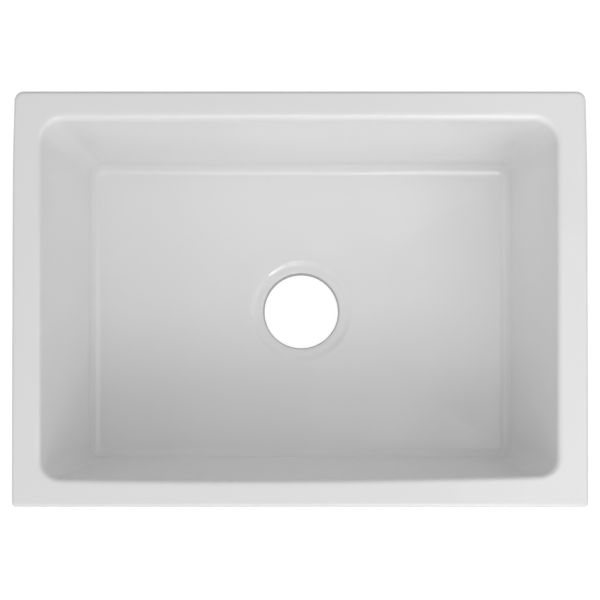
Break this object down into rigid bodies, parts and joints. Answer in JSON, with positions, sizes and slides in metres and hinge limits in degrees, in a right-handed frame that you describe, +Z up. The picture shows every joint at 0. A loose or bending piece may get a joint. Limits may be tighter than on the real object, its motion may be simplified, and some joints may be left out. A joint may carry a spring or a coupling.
{
  "type": "apron front sink",
  "caption": "Rectangular apron-front kitchen basin of glazed clay with a thick flat rim, coved bowl, floor falling to a recessed centre drain, and a bare foot.",
  "frame": {"origin": "middle of the footprint on the plane that the foot stands on", "axes": "+X to the right along the apron, +Y from the apron to the back, +Z up; the apron faces -Y"},
  "size_m": [0.6098, 0.4409, 0.254],
  "materials": {
    "bare_clay": "matte unglazed fired clay",
    "white_glaze": "smooth white gloss glaze"
  },
  "bodies": {
    "root": {"fireclay_body": "bare_clay", "glaze_coat": "white_glaze"}
  },
  "joints": []
}
